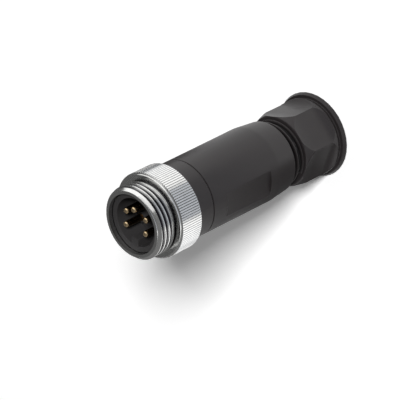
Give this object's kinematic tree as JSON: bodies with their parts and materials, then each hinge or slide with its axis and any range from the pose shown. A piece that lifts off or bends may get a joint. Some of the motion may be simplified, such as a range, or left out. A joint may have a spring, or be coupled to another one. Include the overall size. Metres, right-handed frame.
{
  "type": "field-attachable plug connector",
  "caption": "Round field-wired plug: knurled ring with outside thread, keyed shroud with gold pins, screw terminals, grip sleeve and hexagon cable gland.",
  "frame": {"origin": "centre of the rear face of the clamping screw, on the plug's axis", "axes": "+Z along the plug's axis, towards the contacts and the mating side; +Y from the key towards the longer earth contact"},
  "size_m": [0.027, 0.027, 0.0787],
  "materials": {
    "nickel": "nickel-plated, satin turned",
    "gold": "gold-plated",
    "steel": "zinc-plated",
    "carrier_plastic": "moulded, matt",
    "body_plastic": "moulded, fine satin",
    "cage_plastic": "moulded, natural grey",
    "seal_rubber": "smooth rubber"
  },
  "bodies": {
    "root": {"contact_carrier": "carrier_plastic", "carrier_collar": "body_plastic", "o_ring": "seal_rubber", "contact_pin_1": "gold", "contact_pin_2": "gold", "contact_pin_3": "gold", "contact_pin_4": "gold", "contact_pin_5": "gold"},
    "ring": {"coupling_ring": "nickel"},
    "gland": {"gland_seal": "seal_rubber", "clamp_cage": "cage_plastic"},
    "sleeve": {"sleeve": "body_plastic"},
    "thrust_washer": {"thrust_washer": "cage_plastic"},
    "clamp_screw": {"clamp_screw": "body_plastic"},
    "wire_clamp_1": {"wire_clamp_1": "steel"},
    "terminal_screw_1": {"terminal_screw_1": "steel"},
    "wire_clamp_2": {"wire_clamp_2": "steel"},
    "terminal_screw_2": {"terminal_screw_2": "steel"},
    "wire_clamp_3": {"wire_clamp_3": "steel"},
    "terminal_screw_3": {"terminal_screw_3": "steel"},
    "wire_clamp_4": {"wire_clamp_4": "steel"},
    "terminal_screw_4": {"terminal_screw_4": "steel"},
    "wire_clamp_5": {"wire_clamp_5": "steel"},
    "terminal_screw_5": {"terminal_screw_5": "steel"}
  },
  "joints": [
    {"name": "ring_turn", "type": "hinge", "parent": "root", "child": "ring", "pos_m": [0, 0, 0.071], "axis": [0, 0, 1], "continuous": true},
    {"name": "sleeve_draw", "type": "slide", "parent": "root", "child": "gland", "axis": [0, 0, 1], "range_m": [-0.028, 0]},
    {"name": "sleeve_turn", "type": "hinge", "parent": "gland", "child": "sleeve", "pos_m": [0, 0, 0.0385], "axis": [0, 0, 1], "range_deg": [-720, 0]},
    {"name": "washer_advance", "type": "slide", "parent": "sleeve", "child": "thrust_washer", "axis": [0, 0, 1], "range_m": [-0.0074, 0.0044]},
    {"name": "clamp_screw_turn", "type": "hinge", "parent": "thrust_washer", "child": "clamp_screw", "pos_m": [0, 0, 0.0288], "axis": [0, 0, 1], "range_deg": [-1210, 719.9]},
    {"name": "wire_clamp_1_press", "type": "slide", "parent": "root", "child": "wire_clamp_1", "axis": [0.866, -0.5, 0], "range_m": [-0.0014, 0]},
    {"name": "terminal_screw_1_turn", "type": "hinge", "parent": "wire_clamp_1", "child": "terminal_screw_1", "pos_m": [0.00572, -0.0033, 0.049], "axis": [0.866, -0.5, 0], "range_deg": [-1121, 0]},
    {"name": "wire_clamp_2_press", "type": "slide", "parent": "root", "child": "wire_clamp_2", "axis": [0.866, 0.5, 0], "range_m": [-0.0014, 0]},
    {"name": "terminal_screw_2_turn", "type": "hinge", "parent": "wire_clamp_2", "child": "terminal_screw_2", "pos_m": [0.00572, 0.0033, 0.049], "axis": [0.866, 0.5, 0], "range_deg": [-1121, 0]},
    {"name": "wire_clamp_3_press", "type": "slide", "parent": "root", "child": "wire_clamp_3", "axis": [0, 1, 0], "range_m": [-0.0014, 0]},
    {"name": "terminal_screw_3_turn", "type": "hinge", "parent": "wire_clamp_3", "child": "terminal_screw_3", "pos_m": [0, 0.0066, 0.049], "axis": [0, 1, 0], "range_deg": [-1121, 0]},
    {"name": "wire_clamp_4_press", "type": "slide", "parent": "root", "child": "wire_clamp_4", "axis": [-0.866, 0.5, 0], "range_m": [-0.0014, 0]},
    {"name": "terminal_screw_4_turn", "type": "hinge", "parent": "wire_clamp_4", "child": "terminal_screw_4", "pos_m": [-0.00572, 0.0033, 0.049], "axis": [-0.866, 0.5, 0], "range_deg": [-1121, 0]},
    {"name": "wire_clamp_5_press", "type": "slide", "parent": "root", "child": "wire_clamp_5", "axis": [-0.866, -0.5, 0], "range_m": [-0.0014, 0]},
    {"name": "terminal_screw_5_turn", "type": "hinge", "parent": "wire_clamp_5", "child": "terminal_screw_5", "pos_m": [-0.00572, -0.0033, 0.049], "axis": [-0.866, -0.5, 0], "range_deg": [-1121, 0]}
  ],
  "couplings": [
    {"joint": "washer_advance", "follows": "clamp_screw_turn", "m_per_rad": 0.00035014},
    {"joint": "terminal_screw_1_turn", "follows": "wire_clamp_1_press", "rad_per_m": 13963},
    {"joint": "terminal_screw_2_turn", "follows": "wire_clamp_2_press", "rad_per_m": 13963},
    {"joint": "terminal_screw_3_turn", "follows": "wire_clamp_3_press", "rad_per_m": 13963},
    {"joint": "terminal_screw_4_turn", "follows": "wire_clamp_4_press", "rad_per_m": 13963},
    {"joint": "terminal_screw_5_turn", "follows": "wire_clamp_5_press", "rad_per_m": 13963}
  ]
}
